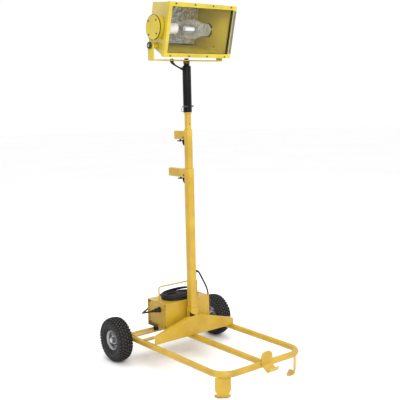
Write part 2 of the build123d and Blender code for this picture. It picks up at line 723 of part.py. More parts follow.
with BuildPart() as transformer_core:
    with BuildSketch(Plane.XZ.offset(-220)):
        with Locations((-40, 245)):
            Rectangle(110, 92)
            with Locations((-27, 0), (27, 0)):
                Rectangle(22, 50, mode=Mode.SUBTRACT)
    extrude(amount=-60)
    with BuildSketch(Plane.XY.offset(190.1)):
        with Locations((-80, 250), (0, 250)):
            Rectangle(24, 50)
    extrude(amount=8.9)
save(transformer_core, "transformer_core")

with BuildPart() as transformer_coil:
    with BuildSketch(Plane.XY.offset(221)):
        with Locations((-40, 250)):
            RectangleRounded(70, 96, 14)
            Rectangle(33, 62, mode=Mode.SUBTRACT)
    extrude(amount=48)
save(transformer_coil, "transformer_coil")

with BuildPart() as capacitor:
    with BuildSketch(Plane.XY.offset(190.2)):
        with Locations((80, 270)):
            Ellipse(34, 22)
    extrude(amount=110)
save(capacitor, "capacitor")

HANDLE_X, HANDLE_Z = 140.0, 423.0
with BuildPart() as box_handle:
    with BuildLine():
        handle_line = FilletPolyline((-HANDLE_X, BOX_Y, BOX_Z1 + 3), (-HANDLE_X, BOX_Y, HANDLE_Z),
                                     (HANDLE_X, BOX_Y, HANDLE_Z), (HANDLE_X, BOX_Y, BOX_Z1 + 3), radius=14)
    with BuildSketch(Plane.XY.offset(BOX_Z1 + 3)):
        with Locations((-HANDLE_X, BOX_Y)):
            Circle(4)
    sweep(path=handle_line)
    with BuildSketch(Plane.XY.offset(BOX_Z1)):
        with Locations((-HANDLE_X, BOX_Y), (HANDLE_X, BOX_Y)):
            RectangleRounded(24, 34, 4)
    extrude(amount=3)
save(box_handle, "box_handle")

with BuildPart() as box_connectors:
    for x0, x1, r in ((-156, -146, 12), (-160, -152.1, 16), (-182, -160, 13)):
        with BuildSketch(Plane.YZ.offset(x0)):
            with Locations((INLET_Y, INLET_Z)):
                Circle(r)
        extrude(amount=x1 - x0)
    for x0, x1, r in ((146, 156, 12), (152.1, 162, 16), (162, 180, 13)):
        with BuildSketch(Plane.YZ.offset(x0)):
            with Locations((INLET_Y, OUTLET_Z)):
                Circle(r)
        extrude(amount=x1 - x0)
    with BuildSketch(Plane.XY.offset(249)):
        with Locations((OUTLET_X, INLET_Y)):
            Circle(13)
    extrude(amount=40)
    with BuildSketch(Plane.YZ.offset(178)):
        with Locations((INLET_Y, OUTLET_Z)):
            Circle(12.5)
    extrude(amount=OUTLET_X - 178)
save(box_connectors, "box_connectors")

# ---------------------------------------------------------------- wheels
for label, side in (("left", -1), ("right", 1)):
    cx = side * TRACK_HALF
    section = Plane(origin=(cx, AXLE_Y, RAIL_Z), x_dir=(1, 0, 0), z_dir=(0, -1, 0))
    spin = Axis((cx, AXLE_Y, RAIL_Z), (1, 0, 0))
    with BuildPart() as tyre:
        with BuildSketch(section):
            with BuildLine():
                Polyline((-27, 56), (-29, 66), (-40, 78), (-44, 92), (-42, 106), (-36, 118), (-24, 126), (0, 130),
                         (24, 126), (36, 118), (42, 106), (44, 92), (40, 78), (29, 66), (27, 56), (22, 56),
                         (23, 66), (36, 80), (39, 92), (37, 104), (31, 112), (20, 118), (0, 120),
                         (-20, 118), (-31, 112), (-37, 104), (-39, 92), (-36, 80), (-23, 66), (-22, 56), close=True)
            make_face()
        revolve(axis=spin)
        with BuildSketch(section):
            with Locations((-13, 128), (13, 128)):
                Rectangle(5, 12)
        revolve(axis=spin, mode=Mode.SUBTRACT)
        with BuildSketch(Plane.YZ.offset(cx + side * 22)):
            with Locations((AXLE_Y, RAIL_Z + 44)):
                Circle(2.6)
        extrude(amount=side * 16)
    save(tyre, "tyre_" + label)
    with BuildPart() as rim:
        with BuildSketch(section):
            with BuildLine():
                Polyline((-31, 57), (-27, 57), (-27, 55.6), (-21, 50), (-3, 48), (-2, 30), (-14, 24), (-14, 18.2),
                         (-11, 18.2), (-11, 22), (0, 26.5), (11, 22), (11, 18.2), (14, 18.2), (14, 24), (2, 30),
                         (3, 48), (21, 50), (27, 55.6), (27, 57), (31, 57), (30, 53.5), (22, 47), (6, 45), (5, 31),
                         (17, 26), (17, 17.5), (-17, 17.5), (-17, 26), (-5, 31), (-6, 45), (-22, 47), (-30, 53.5),
                         close=True)
            make_face()
        revolve(axis=spin)
        with BuildSketch(section):
            with Locations((0, 12.9)):
                Rectangle(64, 9)
        revolve(axis=spin)
    save(rim, "rim_" + label)

# ---------------------------------------------------------------- cables
CABLE_R = 5.0
LAMP_LEAD_R = 4.5


def cable(points, radius):
    """Straight runs joined by tangent arcs, with the arcs' radii printed."""
    radii = []
    for a, b, c in zip(points, points[1:], points[2:]):
        before = Vector(*b) - Vector(*a)
        after = Vector(*c) - Vector(*b)
        half_turn = radians(before.get_angle(after)) / 2
        radii.append(0.45 * min(before.length, after.length) / tan(half_turn))
    print("arc radii", [round(arc) for arc in radii])
    with BuildPart() as piece:
        with BuildLine() as route:
            FilletPolyline(*points, radius=radii)
        start = Vector(*points[1]) - Vector(*points[0])
        with BuildSketch(Plane(origin=points[0], z_dir=start)):
            Circle(radius)
        sweep(path=route.line)
    return piece


MAST_LEAD = ((21.1, 146, 516), (40, 146, 514), (56, 150, 501), (72, 156, 478), (92, 164, 451), (116, 178, 424),
             (142, 197, 395), (168, 219, 367), (191, 242, 339), (207, 259, 313), (212, 266, 289.1))
save(cable(MAST_LEAD, CABLE_R), "mast_lead")

SUPPLY_LEAD = ((-182.1, 266, 294), (-202, 268, 293), (-216, 284, 288), (-221, 312, 279), (-217, 342, 268),
               (-203, 370, 260), (-180, 392, 257), (-151, 404, 262), (-122, 407, 279), (-96, 402, 303),
               (-73, 391, 328), (-50, 378, 350), (-34, 366, 360))

LAMP_LEAD = ((-24.2, 152, LEAD_EXIT_Z), (-46, 152, 1672.5), (-67, 152, 1677), (-85, 152, 1686),
             (-97, 152, 1698), (GLAND_X, 152, 1707.9))
save(cable(LAMP_LEAD, LAMP_LEAD_R), "lamp_lead")

COIL_L, COIL_W, COIL_BAND, COIL_H = 248.0, 172.0, 46.0, 29.5
with BuildPart() as supply_coil:
    with BuildSketch(Plane.XY.offset(BOX_Z1 + 0.3)):
        with Locations((0, BOX_Y - 4)):
            RectangleRounded(COIL_L, COIL_W, 84)
            RectangleRounded(COIL_L - 2 * COIL_BAND, COIL_W - 2 * COIL_BAND, 38, mode=Mode.SUBTRACT)
    extrude(amount=COIL_H)
save(supply_coil, "supply_coil")

PLUG_Y, PLUG_Z = 272.0, 358.0
with BuildPart() as supply_plug:
    for x0, x1, r in ((-46, -40, 17), (-40, -4, 16), (-4, 14, 11), (14, 26, 7)):
        with BuildSketch(Plane.YZ.offset(x0)):
            with Locations((PLUG_Y, PLUG_Z)):
                Circle(r)
        extrude(amount=x1 - x0)
    with BuildSketch(Plane.YZ.offset(26.1)):
        with Locations((PLUG_Y, PLUG_Z)):
            Circle(CABLE_R)
    extrude(amount=52.5)
save(supply_plug, "supply_plug")

save(cable(SUPPLY_LEAD, CABLE_R), "supply_lead")

with BuildPart() as lamp_lead_gland:
    with BuildSketch(Plane.XY.offset(1708)):
        with Locations((GLAND_X, MAST_Y)):
            RegularPolygon(12, 6)
    extrude(amount=YOKE_Z - 3 - 1708)
    with BuildSketch(Plane.XY.offset(YOKE_Z - 3.5)):
        with Locations((GLAND_X, MAST_Y)):
            Circle(7.9)
    extrude(amount=12)
    with BuildSketch(Plane.XY.offset(YOKE_Z + 3)):
        with Locations((GLAND_X, MAST_Y)):
            RegularPolygon(11, 6)
    extrude(amount=5)
save(lamp_lead_gland, "lamp_lead_gland")
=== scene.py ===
import json
from math import cos, pi, radians, sin

import bmesh
import bpy
from mathutils import Matrix, Vector


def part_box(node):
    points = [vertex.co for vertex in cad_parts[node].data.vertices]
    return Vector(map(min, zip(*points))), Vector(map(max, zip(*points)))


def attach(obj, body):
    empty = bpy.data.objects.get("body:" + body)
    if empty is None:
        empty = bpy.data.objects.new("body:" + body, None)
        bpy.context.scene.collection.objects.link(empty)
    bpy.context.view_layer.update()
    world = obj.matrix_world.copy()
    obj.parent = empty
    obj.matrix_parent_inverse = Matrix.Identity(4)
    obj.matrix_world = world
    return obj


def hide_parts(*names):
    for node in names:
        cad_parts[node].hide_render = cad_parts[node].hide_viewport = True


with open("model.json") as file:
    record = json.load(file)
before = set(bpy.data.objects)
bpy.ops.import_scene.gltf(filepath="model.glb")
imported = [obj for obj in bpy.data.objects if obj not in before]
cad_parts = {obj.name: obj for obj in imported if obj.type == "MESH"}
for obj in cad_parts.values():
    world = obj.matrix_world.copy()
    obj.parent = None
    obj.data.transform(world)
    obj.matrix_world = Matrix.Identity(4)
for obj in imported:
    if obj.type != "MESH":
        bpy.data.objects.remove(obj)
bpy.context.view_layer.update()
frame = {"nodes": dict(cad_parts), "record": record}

# ---------------------------------------------------------------- dimensions (m), as in the CAD
AXLE = Vector((0.0, 0.403, 0.130))
TRACK_HALF = 0.370
RAIL_X, RAIL_Z, TUBE_R = 0.288, 0.130, 0.017
FRONT_Y = -0.456
MAST_Y = 0.152
HEAD_Y, HEAD_Z, HEAD_TILT = 0.014, 1.868, radians(14.1)
PIVOT = Vector((0.0, 0.152, 1.796))
YOKE_FACE = 0.2412
KNOB_R = 0.0185
LAMP_Y, LAMP_Z = 0.1093, 1.8868
COIL_X, COIL_Y, COIL_RUN = 0.0, 0.2815, 0.041
PLUG_Y, PLUG_Z = 0.272, 0.358
LEAD_D, LAMP_LEAD_D = 0.010, 0.009

HEAD_UP = Vector((0.0, -sin(HEAD_TILT), cos(HEAD_TILT)))
HEAD_BACK = Vector((0.0, cos(HEAD_TILT), sin(HEAD_TILT)))


def in_head(x, y, depth):
    """A point from the middle of the lamp door: across, up its tilted face, and back into the head."""
    return Vector((x, HEAD_Y, HEAD_Z)) + HEAD_UP * y + HEAD_BACK * depth


# ---------------------------------------------------------------- camera, light and floor
def set_camera(place, turn, pitch, roll, lens):
    """Turn is about Z from looking along +Y, pitch is down and roll is about the view line, in degrees."""
    a, e, r = radians(turn), radians(pitch), radians(roll)
    back = Vector((sin(a) * cos(e), -cos(a) * cos(e), sin(e)))
    right = (-back).cross(Vector((0, 0, 1))).normalized()
    up = right.cross(-back)
    across = cos(r) * right + sin(r) * up
    above = -sin(r) * right + cos(r) * up
    data = bpy.data.cameras.new("camera")
    data.sensor_width = 36.0
    data.lens = lens
    data.clip_end = 60.0
    camera = bpy.data.objects.new("camera", data)
    bpy.context.scene.collection.objects.link(camera)
    rotation = Matrix((across, above, back)).transposed().to_4x4()
    camera.matrix_world = Matrix.Translation(place) @ rotation
    bpy.context.scene.camera = camera


set_camera(Vector((-2.5231, -3.1447, 1.5184)), -38.24, 8.02, -1.24, 65.96)


def softbox(name, place, target, size, power):
    data = bpy.data.lights.new(name, "AREA")
    data.shape = "RECTANGLE"
    data.size, data.size_y = size
    data.energy = power
    lamp = bpy.data.objects.new(name, data)
    bpy.context.scene.collection.objects.link(lamp)
    lamp.location = place
    aim = Vector(target) - Vector(place)
    lamp.rotation_euler = aim.to_track_quat("-Z", "Y").to_euler()


softbox("key_softbox", (-1.6, -3.4, 3.2), (0.0, 0.0, 1.0), (2.4, 2.4), 110.0)
softbox("fill_softbox", (3.6, -1.6, 2.2), (0.0, 0.0, 0.9), (2.2, 3.0), 26.0)
softbox("top_softbox", (0.4, 0.6, 4.4), (0.0, 0.0, 0.9), (3.0, 3.0), 45.0)

world = bpy.data.worlds.new("studio")
bpy.context.scene.world = world
world.use_nodes = True
sky = world.node_tree.nodes["Background"]
sky.inputs["Color"].default_value = (1.0, 1.0, 1.0, 1.0)
sky.inputs["Strength"].default_value = 1.02
bpy.context.scene.view_settings.view_transform = "Standard"


# ---------------------------------------------------------------- materials
class Look:
    """One procedural material while it is put together. Its noises are in the piece's own metres."""

    def __init__(self, name, **sockets):
        self.material = bpy.data.materials.new(name)
        self.material.use_nodes = True
        tree = self.material.node_tree
        self.nodes, self.links = tree.nodes, tree.links
        self.shader = tree.nodes["Principled BSDF"]
        self.place = self.nodes.new("ShaderNodeTexCoord").outputs["Object"]
        for socket, value in sockets.items():
            self.shader.inputs[socket.replace("_", " ")].default_value = value

    def noise(self, scale, detail=3.0, stretch=(1.0, 1.0, 1.0), rough=0.55):
        mapping = self.nodes.new("ShaderNodeMapping")
        mapping.inputs["Scale"].default_value = stretch
        self.links.new(self.place, mapping.inputs["Vector"])
        noise = self.nodes.new("ShaderNodeTexNoise")
        noise.inputs["Scale"].default_value = scale
        noise.inputs["Detail"].default_value = detail
        noise.inputs["Roughness"].default_value = rough
        self.links.new(mapping.outputs["Vector"], noise.inputs["Vector"])
        return noise.outputs["Fac"]

    def ramp(self, factor, *stops):
        ramp = self.nodes.new("ShaderNodeValToRGB")
        points = ramp.color_ramp.elements
        while len(points) < len(stops):
            points.new(0.5)
        for point, (position, colour) in zip(points, stops):
            point.position = position
            point.color = (*colour, 1.0) if isinstance(colour, tuple) else (colour,) * 3 + (1.0,)
        self.links.new(factor, ramp.inputs["Fac"])
        return ramp.outputs["Color"]

    def blend(self, factor, first, second):
        blend = self.nodes.new("ShaderNodeMix")
        blend.data_type = "RGBA"
        self.links.new(factor, blend.inputs[0])
        for socket, value in ((blend.inputs[6], first), (blend.inputs[7], second)):
            if isinstance(value, tuple):
                socket.default_value = (*value, 1.0)
            else:
                self.links.new(value, socket)
        return blend.outputs[2]

    def rounded(self, radius):
        """Normals as if every sharp edge had this radius."""
        bevel = self.nodes.new("ShaderNodeBevel")
        bevel.samples = 4
        bevel.inputs["Radius"].default_value = radius
        return bevel.outputs["Normal"]

    def edges(self, radius, low, high):
        """White along edges, black on the flats."""
        geometry = self.nodes.new("ShaderNodeNewGeometry")
        dot = self.nodes.new("ShaderNodeVectorMath")
        dot.operation = "DOT_PRODUCT"
        self.links.new(self.rounded(radius), dot.inputs[0])
        self.links.new(geometry.outputs["Normal"], dot.inputs[1])
        return self.ramp(dot.outputs["Value"], (low, 1.0), (high, 0.0))

    def colour(self, source):
        self.links.new(source, self.shader.inputs["Base Color"])

    def rough(self, factor, low, high):
        self.links.new(self.ramp(factor, (0.25, low), (0.75, high)), self.shader.inputs["Roughness"])

    def bump(self, height, strength, distance, normal=None):
        bump = self.nodes.new("ShaderNodeBump")
        bump.inputs["Strength"].default_value = strength
        bump.inputs["Distance"].default_value = distance
        self.links.new(height, bump.inputs["Height"])
        if normal is not None:
            self.links.new(normal, bump.inputs["Normal"])
        self.links.new(bump.outputs["Normal"], self.shader.inputs["Normal"])


def painted(name, deep, mid, light, radius=0.0012, gloss=0.45, coat=0.2):
    """Powder coat on steel: slightly uneven colour, orange peel, soft edges, a little grime and a painted
    highlight that colours the edges lighter.
    """
    look = Look(name, Coat_Weight=coat, Coat_Roughness=0.22, Specular_IOR_Level=gloss)
    body = look.ramp(look.noise(7.0, 4.0), (0.30, deep), (0.52, mid), (0.72, light))
    grime = look.ramp(look.noise(55.0, 5.0, rough=0.7), (0.60, 0.0), (0.78, 1.0))
    dulled = look.blend(grime, body, tuple(0.72 * c for c in mid))
    # Painted highlight: the paint is coloured lighter along every edge.
    edge_highlight = look.edges(radius * 1.6, 0.80, 0.985)
    look.colour(look.blend(edge_highlight, dulled, tuple(min(1.0, 1.18 * c + 0.02) for c in light)))
    look.rough(look.noise(24.0, 4.0), 0.30, 0.46)
    look.bump(look.noise(900.0, 1.0), 0.12, 0.0004, look.rounded(radius))
    return look.material


def steel(name, dark, light, rough, radius=0.0006, metallic=1.0):
    """Plated or bare steel with spangle and fine scratches."""
    look = Look(name, Metallic=metallic)
    cloud = look.noise(90.0, 5.0)
    look.colour(look.ramp(cloud, (0.32, dark), (0.68, light)))
    look.rough(look.noise(160.0, 4.0), rough - 0.07, rough + 0.10)
    look.bump(look.noise(700.0, 2.0, (1.0, 1.0, 6.0)), 0.10, 0.0003, look.rounded(radius))
    return look.material


def moulded(name, dark, light, rough, grain=1500.0, depth=0.0003, gloss=0.25):
    """Moulded plastic or rubber with a fine grain and dusty patches."""
    look = Look(name, Specular_IOR_Level=gloss)
    dust = look.noise(30.0, 5.0, rough=0.7)
    look.colour(look.ramp(dust, (0.35, dark), (0.70, light)))
    look.rough(look.noise(60.0, 3.0), rough - 0.08, rough + 0.10)
    look.bump(look.noise(grain, 2.0), 0.25, depth, look.rounded(0.0008))
    return look.material


yellow = painted("yellow_paint", (0.400, 0.235, 0.012), (0.480, 0.300, 0.016), (0.540, 0.360, 0.024))
lemon = painted("lemon_paint", (0.450, 0.330, 0.016), (0.530, 0.410, 0.022), (0.590, 0.475, 0.034))
black_coat = painted("black_paint", (0.003, 0.003, 0.003), (0.005, 0.005, 0.005), (0.009, 0.009, 0.009),
        gloss=0.12, coat=0.02)
black_plastic = moulded("black_plastic", (0.010, 0.010, 0.011), (0.028, 0.027, 0.027), 0.42)
nylon = moulded("white_nylon", (0.420, 0.400, 0.350), (0.560, 0.540, 0.490), 0.48)
zinc = steel("zinc_steel", (0.420, 0.420, 0.430), (0.640, 0.640, 0.640), 0.34)
rim_zinc = steel("rim_zinc", (0.270, 0.270, 0.285), (0.430, 0.430, 0.440), 0.42)
dark_steel = steel("dark_steel", (0.060, 0.052, 0.046), (0.130, 0.115, 0.100), 0.45)
brass = steel("brass", (0.500, 0.330, 0.110), (0.700, 0.500, 0.200), 0.28)
core_steel = steel("core_steel", (0.080, 0.078, 0.080), (0.160, 0.155, 0.150), 0.55)
copper = steel("copper_coil", (0.360, 0.130, 0.060), (0.560, 0.240, 0.110), 0.36)
can_metal = steel("alu_can", (0.480, 0.480, 0.490), (0.680, 0.680, 0.690), 0.30)
black_rubber = moulded("black_rubber", (0.008, 0.008, 0.009), (0.022, 0.021, 0.021), 0.62)
cable_rubber = moulded("cable_rubber", (0.007, 0.007, 0.009), (0.018, 0.017, 0.020), 0.48, 1100.0)
plug_rubber = moulded("plug_plastic", (0.014, 0.009, 0.022), (0.034, 0.024, 0.046), 0.45)
ceramic = moulded("ceramic", (0.560, 0.540, 0.500), (0.720, 0.700, 0.660), 0.34)


def tyre_rubber():
    """Sidewall and tread rubber, with patches of paler, browner dust."""
    look = Look("tyre_rubber", Specular_IOR_Level=0.35)
    dust = look.noise(45.0, 6.0, rough=0.72)
    look.colour(look.ramp(dust, (0.34, (0.006, 0.006, 0.007)), (0.58, (0.013, 0.012, 0.012)),
            (0.80, (0.050, 0.042, 0.034))))
    look.rough(look.noise(80.0, 4.0), 0.55, 0.80)
    look.bump(look.noise(420.0, 3.0), 0.30, 0.0006, look.rounded(0.0010))
    return look.material


def mirror_sheet():
    """Bright rolled aluminium, lightly hammered, dulled in cloudy patches."""
    look = Look("mirror_sheet", Metallic=1.0)
    haze = look.noise(34.0, 6.0, (0.6, 1.2, 1.2), 0.70)
    look.colour(look.ramp(haze, (0.36, (0.330, 0.330, 0.315)), (0.66, (0.580, 0.575, 0.550))))
    look.rough(look.noise(70.0, 3.0), 0.08, 0.26)
    look.bump(look.noise(42.0, 3.0), 0.8, 0.008)
    return look.material


def clear_glass(name, tint, flat, edge, haze):
    """Borosilicate glass: nearly invisible face on, bright and hazy at grazing edges as a painted highlight,
    with faint dust.
    """
    look = Look(name, Roughness=0.03, Specular_IOR_Level=1.0, IOR=1.47)
    weight = look.nodes.new("ShaderNodeLayerWeight")
    weight.inputs["Blend"].default_value = 0.35
    dust = look.noise(28.0, 5.0, rough=0.7)
    # Painted highlight: the glass turns more opaque toward grazing edges, showing its pale colour there.
    painted_edge_highlight = look.ramp(weight.outputs["Facing"], (0.10, flat), (0.60, (flat + edge) * 0.30), (0.95, edge))
    dust_and_edge_highlight = look.blend(look.ramp(dust, (0.45, 0.0), (0.80, haze)), painted_edge_highlight, (1.0, 1.0, 1.0))
    look.links.new(dust_and_edge_highlight, look.shader.inputs["Alpha"])
    look.colour(look.ramp(dust, (0.3, tint), (0.7, tuple(0.94 * c for c in tint))))
    look.bump(look.noise(18.0, 2.0), 0.05, 0.002)
    return look.material


def dust_and_highlight_tops():
    """Outer faces of the tread blocks, greyed by dust and made lighter than the dark tread rubber as a painted
    highlight.
    """
    look = Look("tread_tops_dust_and_highlight", Specular_IOR_Level=0.3)
    dust = look.noise(120.0, 5.0, rough=0.7)
    look.colour(look.ramp(dust, (0.30, (0.012, 0.011, 0.011)), (0.52, (0.042, 0.038, 0.034)),
            (0.75, (0.110, 0.096, 0.080))))
    look.rough(look.noise(80.0, 4.0), 0.60, 0.85)
    look.bump(look.noise(420.0, 3.0), 0.30, 0.0006, look.rounded(0.0010))
    return look.material


rubber = tyre_rubber()
dust_and_highlight_tread = dust_and_highlight_tops()
mirror = mirror_sheet()
glass = clear_glass("lens_glass", (0.55, 0.60, 0.56), 0.012, 0.25, 0.02)
bulb_clear = clear_glass("bulb_glass", (0.96, 0.97, 0.95), 0.03, 0.70, 0.015)


dull_alu = steel("dull_aluminium", (0.120, 0.115, 0.105), (0.230, 0.225, 0.210), 0.55, metallic=0.6)
wire_steel = steel("wire_steel", (0.050, 0.050, 0.052), (0.110, 0.110, 0.112), 0.42)
bronze = steel("bronze_bush", (0.110, 0.060, 0.026), (0.190, 0.110, 0.050), 0.42)


def arc_quartz():
    """Frosted quartz of the arc tube."""
    look = Look("arc_quartz", Subsurface_Weight=0.2)
    look.colour(look.ramp(look.noise(120.0, 4.0), (0.35, (0.80, 0.79, 0.76)), (0.70, (0.97, 0.97, 0.96))))
    look.rough(look.noise(200.0, 2.0), 0.12, 0.30)
    look.bump(look.noise(500.0, 2.0), 0.1, 0.0003)
    return look.material


quartz = arc_quartz()


def floor_look():
    look = Look("studio_floor", Specular_IOR_Level=0.1)
    look.colour(look.ramp(look.noise(0.6, 2.0), (0.3, (0.955, 0.955, 0.955)),
            (0.7, (0.975, 0.975, 0.975))))
    look.rough(look.noise(3.0, 2.0), 0.85, 0.95)
    return look.material


# ---------------------------------------------------------------- mesh helpers
def finish_mesh(name, bm, material, smooth_angle=35.0):
    """A new object at the origin from this bmesh, smooth except at sharp edges."""
    bmesh.ops.recalc_face_normals(bm, faces=bm.faces)
    for face in bm.faces:
        face.smooth = True
    for edge in bm.edges:
        if len(edge.link_faces) == 2 and edge.calc_face_angle() > radians(smooth_angle):
            edge.smooth = False
    mesh = bpy.data.meshes.new(name)
    bm.to_mesh(mesh)
    bm.free()
    made = bpy.data.objects.new(name, mesh)
    bpy.context.scene.collection.objects.link(made)
    mesh.materials.append(material)
    return made


def across_of(direction):
    """Two unit vectors square to this one and to each other."""
    helper = Vector((0, 0, 1)) if abs(direction.z) < 0.9 else Vector((1, 0, 0))
    first = direction.cross(helper).normalized()
    return first, direction.cross(first).normalized()


def add_lathe(bm, origin, axis, profile, turns=32, closed=False):
    """Revolve (distance along the axis, radius) pairs. A radius of zero closes the end in a point."""
    axis = Vector(axis).normalized()
    first, second = across_of(axis)
    rings = []
    for along, radius in profile:
        middle = Vector(origin) + axis * along
        if radius < 1e-7:
            rings.append([bm.verts.new(middle)])
            continue
        ring = []
        for i in range(turns):
            angle = 2 * pi * i / turns
            ring.append(bm.verts.new(middle + (first * cos(angle) + second * sin(angle)) * radius))
        rings.append(ring)
    pairs = list(zip(rings, rings[1:]))
    if closed:
        pairs.append((rings[-1], rings[0]))
    for low, high in pairs:
        for i in range(turns):
            j = (i + 1) % turns
            if len(low) == 1 and len(high) == 1:
                continue
            if len(low) == 1:
                bm.faces.new((low[0], high[i], high[j]))
            elif len(high) == 1:
                bm.faces.new((low[i], low[j], high[0]))
            else:
                bm.faces.new((low[i], low[j], high[j], high[i]))


def add_sweep(bm, line, radius, sides=12):
    """A closed tube along a line of points. Radius is a number, or a function of the distance along."""
    line = [Vector(p) for p in line]
    rings, travelled = [], 0.0
    first = None
    for i, point in enumerate(line):
        ahead = line[min(i + 1, len(line) - 1)] - line[max(i - 1, 0)]
        direction = ahead.normalized()
        if first is None:
            first, _ = across_of(direction)
        first = (first - direction * first.dot(direction)).normalized()
        second = direction.cross(first)
        if i:
            travelled += (point - line[i - 1]).length
        size = radius(travelled) if callable(radius) else radius
        ring = []
        for k in range(sides):
            angle = 2 * pi * k / sides
            ring.append(bm.verts.new(point + (first * cos(angle) + second * sin(angle)) * size))
        rings.append(ring)
    for low, high in zip(rings, rings[1:]):
        for k in range(sides):
            j = (k + 1) % sides
            bm.faces.new((low[k], low[j], high[j], high[k]))
    bm.faces.new(list(reversed(rings[0])))
    bm.faces.new(rings[-1])


def add_block(bm, corners_low, corners_high):
    """A solid between two polygons of as many corners."""
    low = [bm.verts.new(p) for p in corners_low]
    high = [bm.verts.new(p) for p in corners_high]
    bm.faces.new(list(reversed(low)))
    bm.faces.new(high)
    for i in range(len(low)):
        j = (i + 1) % len(low)
        bm.faces.new((low[i], low[j], high[j], high[i]))


def piece(name, bm, material, body, slot, *nodes, smooth_angle=35.0):
    made = finish_mesh(name, bm, material, smooth_angle)
    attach(made, body)
    if nodes:
        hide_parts(*nodes)
    return made


# ---------------------------------------------------------------- cords
def spline_cord(name, points, diameter, material):
    """A round cord whose centreline is a NURBS spline with these control points."""
    curve = bpy.data.curves.new(name, "CURVE")
    curve.dimensions = "3D"
    curve.resolution_u = 8
    curve.bevel_depth = 1.0
    curve.bevel_resolution = 5
    curve.use_fill_caps = True
    spline = curve.splines.new("NURBS")
    spline.points.add(len(points) - 1)
    for target, point in zip(spline.points, points):
        target.co = (*point, 1.0)
        target.radius = diameter / 2
    spline.order_u = 3
    spline.use_endpoint_u = True
    made = bpy.data.objects.new(name, curve)
    bpy.context.scene.collection.objects.link(made)
    curve.materials.append(material)
    return made


def centreline(cord):
    """The points of the cord's own spline, in order."""
    depth = cord.data.bevel_depth
    cord.data.bevel_depth = 0.0
    bpy.context.view_layer.update()
    line = bpy.data.meshes.new_from_object(cord)
    points = [cord.matrix_world @ v.co for v in line.vertices]
    bpy.data.meshes.remove(line)
    cord.data.bevel_depth = depth
    return points


def length_of(points):
    return sum((b - a).length for a, b in zip(points, points[1:]))


def stretch_of(points, start, end, step):
    """Evenly spaced points between two distances along the line."""
    found, travelled, wanted = [], 0.0, start
    for a, b in zip(points, points[1:]):
        run = (b - a).length
        while wanted <= end and travelled + run >= wanted:
            found.append(a.lerp(b, (wanted - travelled) / run))
            wanted += step
        travelled += run
    return found


MAST_LEAD = [
    (0.0211, 0.146, 0.516), (0.040, 0.146, 0.514), (0.056, 0.150, 0.501), (0.072, 0.156, 0.478),
    (0.092, 0.164, 0.451), (0.116, 0.178, 0.424), (0.142, 0.197, 0.395), (0.168, 0.219, 0.367),
    (0.191, 0.242, 0.339), (0.207, 0.259, 0.313), (0.212, 0.266, 0.2891),
]
LAMP_LEAD = [
    (-0.0242, 0.152, 1.672), (-0.036, 0.152, 1.6745), (-0.052, 0.152, 1.6805),
    (-0.070, 0.152, 1.6885), (-0.087, 0.152, 1.6980), (-0.101, 0.152, 1.7079),
]
SUPPLY_LEAD = [
    (-0.1821, 0.266, 0.294), (-0.200, 0.2665, 0.2935), (-0.2165, 0.2745, 0.291), (-0.2270, 0.2920, 0.286),
    (-0.2285, 0.3160, 0.279), (-0.2200, 0.3440, 0.2685), (-0.2040, 0.3700, 0.260), (-0.180, 0.392,
            0.257), (-0.151, 0.404, 0.262),
    (-0.122, 0.407, 0.279), (-0.096, 0.402, 0.303), (-0.073, 0.391, 0.328), (-0.052, 0.379, 0.351),
    (-0.036, 0.367, 0.352),
]


def coil_route():
    """The hank on the box: in along the bottom layer, out along the second and in again on top."""
    points = []
    pitch = 0.0112
    per_turn = 16
    slack = 0.0095
    layers = (0.3455, 0.3567, 0.3679)
    outer, inner, second_end, last = 0.079, 0.0454, 0.0740, 0.0600
    down_turns = (outer - inner) / pitch
    rise = 0.35
    out_turns = (second_end - inner) / pitch
    in_turns = (second_end - last) / pitch
    start_angle = radians(98.0)
    total = down_turns + rise + out_turns + rise + in_turns
    exit_angle = radians(28.0)
    whole = round((total * 2 * pi - (start_angle - exit_angle)) / (2 * pi))
    total = whole + (start_angle - exit_angle) / (2 * pi)
    steps = int(total * per_turn)
    for i in range(1, steps + 1):
        t = total * i / steps
        angle = start_angle - 2 * pi * t
        if t < down_turns:
            radius, height = outer - pitch * t, layers[0]
        elif t < down_turns + rise:
            share = (t - down_turns) / rise
            radius, height = inner, layers[0] + (layers[1] - layers[0]) * share
        elif t < down_turns + rise + out_turns:
            radius, height = inner + pitch * (t - down_turns - rise), layers[1]
        elif t < down_turns + 2 * rise + out_turns:
            share = (t - down_turns - rise - out_turns) / rise
            radius, height = second_end, layers[1] + (layers[2] - layers[1]) * share
        else:
            radius = second_end - pitch * (t - down_turns - 2 * rise - out_turns)
            height = layers[2]
        across = cos(angle)
        x = COIL_X + radius * across + COIL_RUN * across * (1.5 - 0.5 * across ** 2)
        y = COIL_Y + radius * sin(angle)
        above = height - layers[1]
        if above > 0.001:
            height += slack * ((x + 0.12) / 0.24) * min(1.0, above / pitch)
        points.append((x, y, height))
    return points


TO_PLUG = [
    (0.0950, 0.294, 0.3760), (0.0880, 0.281, 0.3750), (0.0750, 0.2735, 0.3715),
    (0.0600, 0.272, 0.3650), (0.0450, 0.272, 0.3600), (0.0330, 0.272, 0.358), (0.0200, 0.272, 0.358),
]

supply = spline_cord("supply_cord", SUPPLY_LEAD + coil_route() + TO_PLUG, LEAD_D, cable_rubber)
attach(supply, "cart")
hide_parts("supply_lead", "supply_coil")
mast_cord = spline_cord("mast_cord", MAST_LEAD, LEAD_D, cable_rubber)
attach(mast_cord, "cart")
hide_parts("mast_lead")
lamp_cord = spline_cord("lamp_cord", LAMP_LEAD, LAMP_LEAD_D, cable_rubber)
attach(lamp_cord, "swivel")
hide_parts("lamp_lead")

supply_line = centreline(supply)
mast_line = centreline(mast_cord)
lamp_line = centreline(lamp_cord)


